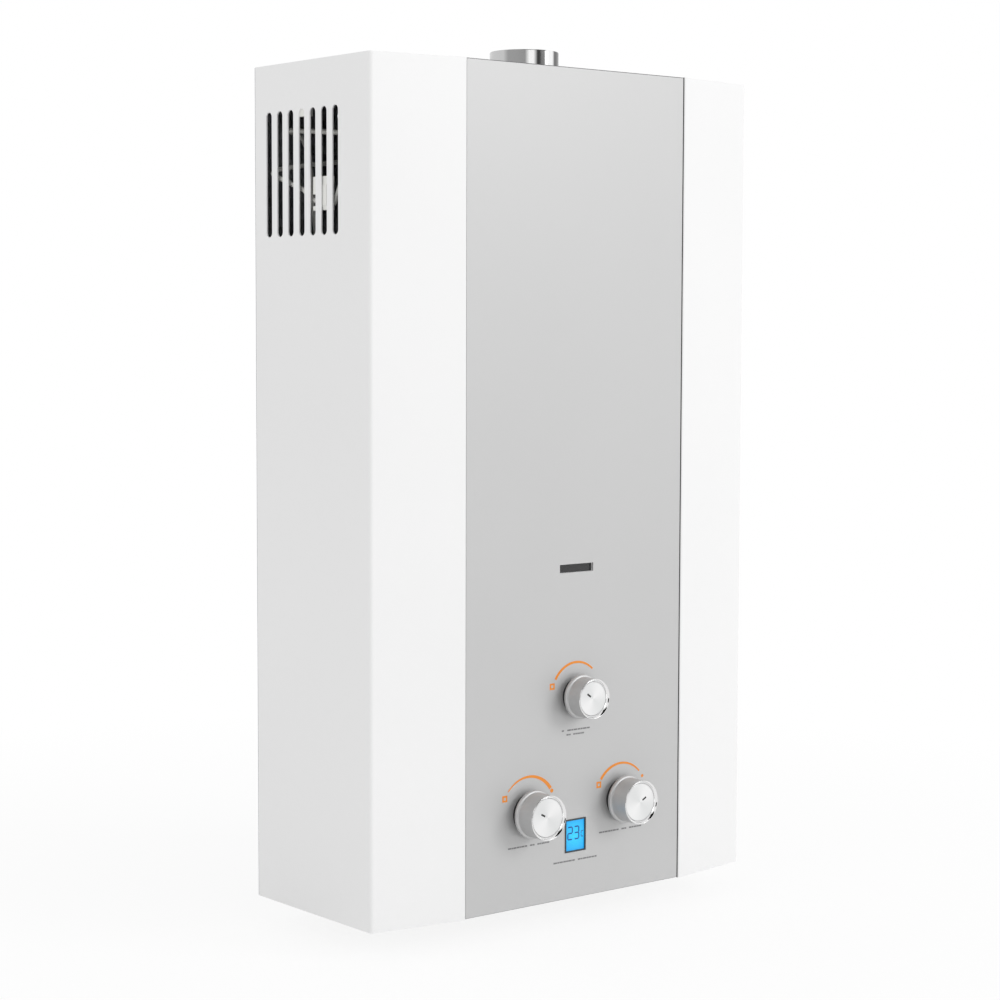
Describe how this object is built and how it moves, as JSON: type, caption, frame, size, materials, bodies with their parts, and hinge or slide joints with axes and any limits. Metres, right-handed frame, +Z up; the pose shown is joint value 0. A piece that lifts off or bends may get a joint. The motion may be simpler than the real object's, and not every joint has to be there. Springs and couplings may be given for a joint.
{
  "type": "gas water heater",
  "caption": "Wall-hung tankless gas water heater with a white casing, silver front panel, turning knobs, display and flue collar, and its burner, fan, valves and heat exchanger inside.",
  "frame": {"origin": "centre of the four wall bolts, on the wall plane", "axes": "+Y into the wall, +Z up, +X to the right of someone facing the heater"},
  "size_m": [0.35, 0.1721, 0.6305],
  "materials": {
    "white_paint": "satin powder coat",
    "panel_silver": "satin metallic film",
    "zinc_sheet": "zinc-coated sheet",
    "screw_steel": "zinc-plated",
    "flue_steel": "bright stainless",
    "sight_glass": "smoked heat glass",
    "display_black": "gloss",
    "display_blue": "lit liquid-crystal display",
    "circuit": "circuit board and housing",
    "knob_silver": "satin-plated side with a polished slope inside its edge",
    "knob_face": "spun",
    "brass": "machined",
    "copper": "copper tube",
    "die_cast": "as cast",
    "coil_case": "moulded",
    "burner_steel": "heat-stained stainless",
    "ceramic": null,
    "rubber": "moulded",
    "white_plastic": "moulded nylon",
    "wire_sleeve": "silicone sleeve",
    "black_plastic": "moulded",
    "clear_tube": "silicone tube"
  },
  "bodies": {
    "heater": {"back_plate": "zinc_sheet", "front_cover": "white_paint", "front_panel": "panel_silver", "top_plate": "white_paint", "bottom_plate": "white_paint", "case_screws": "screw_steel", "sight_glass": "sight_glass", "display_frame": "display_black", "display_lens": "display_blue", "display_module": "circuit", "knob_bushes": "black_plastic", "gas_valve_body": "die_cast", "gas_inlet_fitting": "brass", "solenoid_coil": "coil_case", "gas_manifold": "die_cast", "gas_nozzles": "brass", "burner_bars": "burner_steel", "burner_frame": "zinc_sheet", "burner_electrodes": "ceramic", "water_valve_body": "brass", "water_valve_cover": "brass", "diaphragm": "rubber", "shutter_spring": "screw_steel", "valve_screws": "screw_steel", "water_inlet_fitting": "brass", "flow_switch": "black_plastic", "cold_pipe": "copper", "hot_pipe": "copper", "water_outlet_fitting": "brass", "pipe_locknuts": "screw_steel", "combustion_shell": "copper", "shell_coil": "copper", "exchanger_fins": "copper", "exchanger_tubes": "copper", "support_brackets": "zinc_sheet", "overheat_switch": "ceramic", "flue_hood": "zinc_sheet", "fan_housing": "zinc_sheet", "fan_motor": "coil_case", "flue_collar": "flue_steel", "control_box": "black_plastic", "harness_connector": "white_plastic", "harness_wires": "wire_sleeve", "cable_gland": "black_plastic", "draught_switch": "white_plastic", "draught_tube": "clear_tube"},
    "gas_knob": {"gas_knob": "knob_silver", "gas_knob_cap": "knob_face", "gas_spindle": "brass"},
    "water_knob": {"water_knob": "knob_silver", "water_knob_cap": "knob_face", "water_spindle": "brass"},
    "season_knob": {"season_knob": "knob_silver", "season_knob_cap": "knob_face", "season_spindle": "brass"},
    "fan_rotor": {"fan_impeller": "die_cast"},
    "push_rod": {"push_rod": "brass"},
    "switch_lever": {"flow_switch_lever": "screw_steel"},
    "plunger": {"solenoid_plunger": "screw_steel"},
    "drain_plug": {"drain_plug": "brass"}
  },
  "joints": [
    {"name": "gas_knob_turn", "type": "hinge", "parent": "heater", "child": "gas_knob", "pos_m": [-0.044, -0.1508, -0.2295], "axis": [0, -1, 0], "range_deg": [-120, 0]},
    {"name": "water_knob_turn", "type": "hinge", "parent": "heater", "child": "water_knob", "pos_m": [0.044, -0.1508, -0.2295], "axis": [0, -1, 0], "range_deg": [0, 125]},
    {"name": "season_knob_turn", "type": "hinge", "parent": "heater", "child": "season_knob", "pos_m": [0, -0.1508, -0.1495], "axis": [0, -1, 0], "range_deg": [-102, 16]},
    {"name": "fan_spin", "type": "hinge", "parent": "heater", "child": "fan_rotor", "pos_m": [-0.042, -0.088, 0.2415], "axis": [0, -1, 0], "continuous": true},
    {"name": "push_rod_slide", "type": "slide", "parent": "heater", "child": "push_rod", "axis": [-1, 0, 0], "range_m": [0, 0.004], "stiffness_N_per_m": 600, "deforming": ["shutter_spring"]},
    {"name": "switch_lever_turn", "type": "hinge", "parent": "heater", "child": "switch_lever", "pos_m": [0.001, -0.07, -0.2145], "axis": [0, 1, 0], "range_deg": [0, 28.01]},
    {"name": "plunger_slide", "type": "slide", "parent": "heater", "child": "plunger", "axis": [-1, 0, 0], "range_m": [0, 0.003], "stiffness_N_per_m": 400},
    {"name": "drain_plug_turn", "type": "hinge", "parent": "heater", "child": "drain_plug", "pos_m": [0.044, -0.07, -0.2975], "axis": [0, 0, -1], "range_deg": [0, 180]}
  ],
  "couplings": [
    {"joint": "switch_lever_turn", "follows": "push_rod_slide", "rad_per_m": 122.17}
  ]
}
